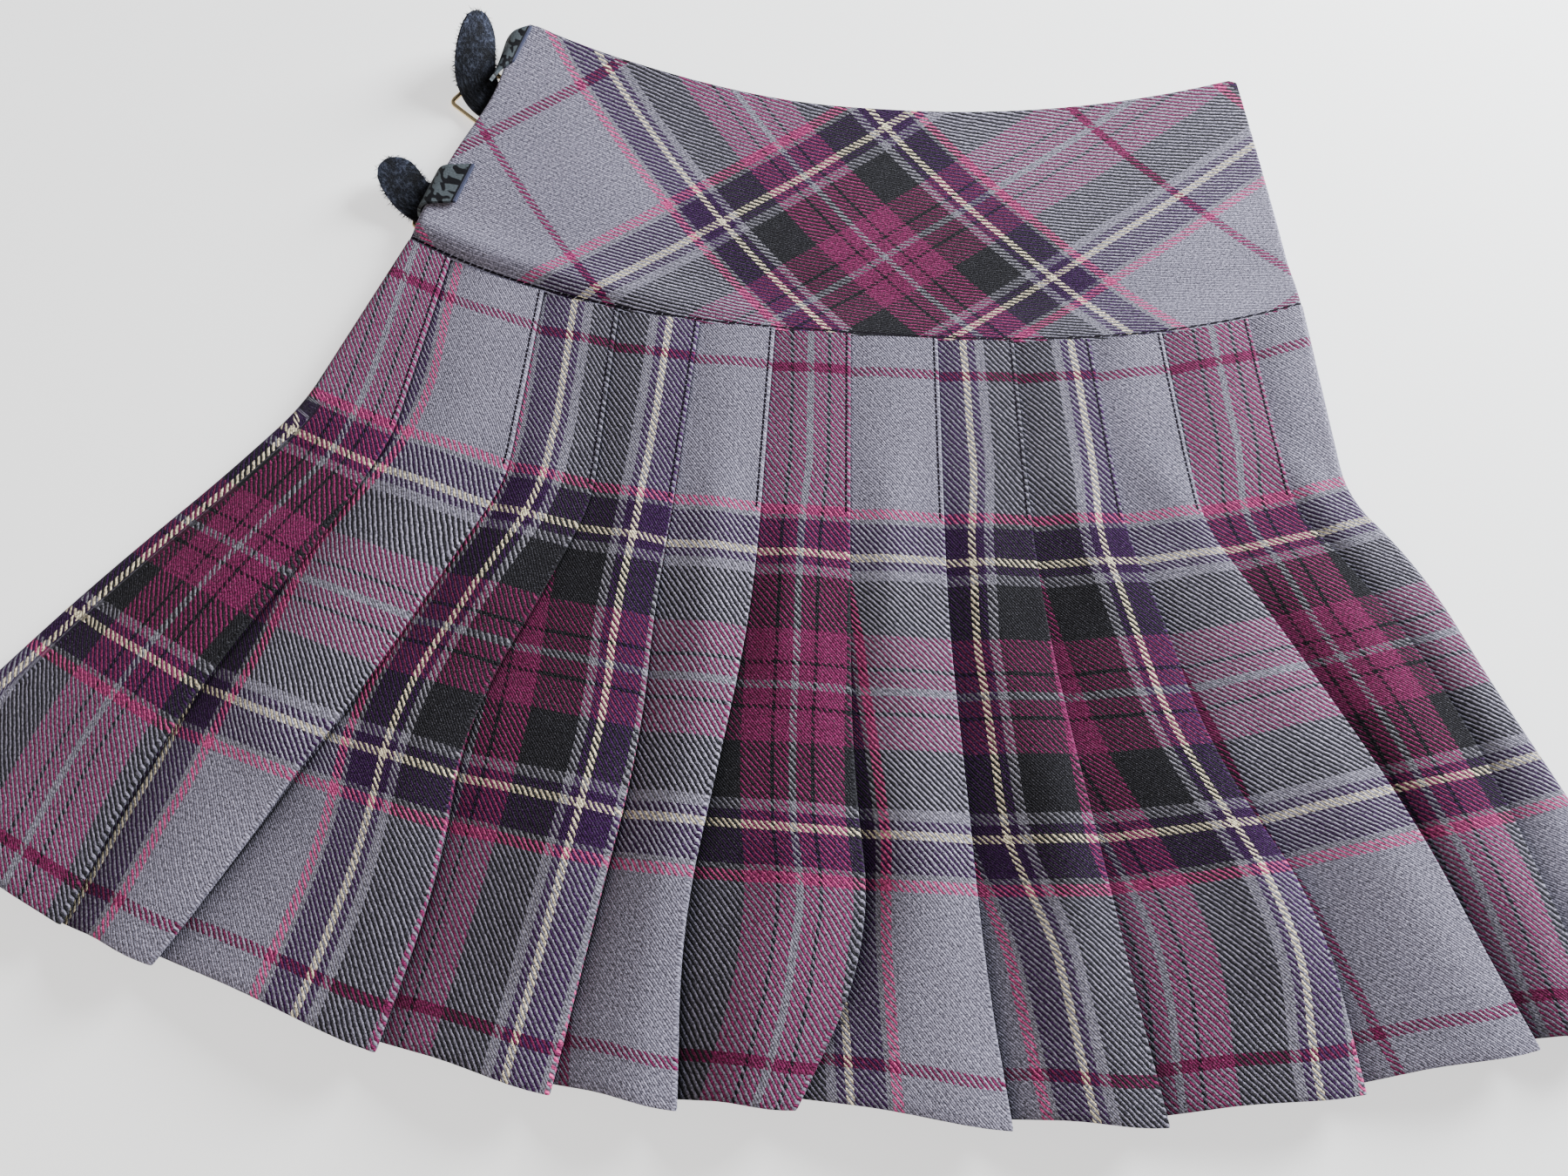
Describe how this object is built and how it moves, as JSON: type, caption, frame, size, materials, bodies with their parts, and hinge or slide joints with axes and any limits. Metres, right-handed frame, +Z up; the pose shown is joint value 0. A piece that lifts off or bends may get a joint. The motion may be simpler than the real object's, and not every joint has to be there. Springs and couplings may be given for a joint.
{
  "type": "tartan skirt",
  "caption": "Short knife-pleated tartan skirt with a fitted hip yoke and buckled side straps, laid flat with its front up.",
  "frame": {"origin": "on the table, under the middle of the laid-out skirt's bounding box", "axes": "+X to the viewer's right across the hem, +Y from the hem to the waist, +Z up from the table through the back and then the front"},
  "size_m": [0.7442, 0.5006, 0.0228],
  "materials": {
    "heather_tartan": "brushed wool twill in heather grey with bias stripes",
    "pleat_tartan": "brushed wool twill in aubergine, purple, grey, cream and pink checks",
    "printed_leather": "smooth, printed in black",
    "suede": "rough suede",
    "buckle_brass": "polished"
  },
  "bodies": {
    "root": {"front_yoke": "heather_tartan", "back_yoke": "heather_tartan", "front_skirt": "pleat_tartan", "back_skirt": "pleat_tartan", "tab_upper": "printed_leather", "tab_lower": "printed_leather", "strap_upper": "suede", "strap_lower": "suede", "buckle_upper": "buckle_brass", "buckle_lower": "buckle_brass"}
  },
  "joints": []
}
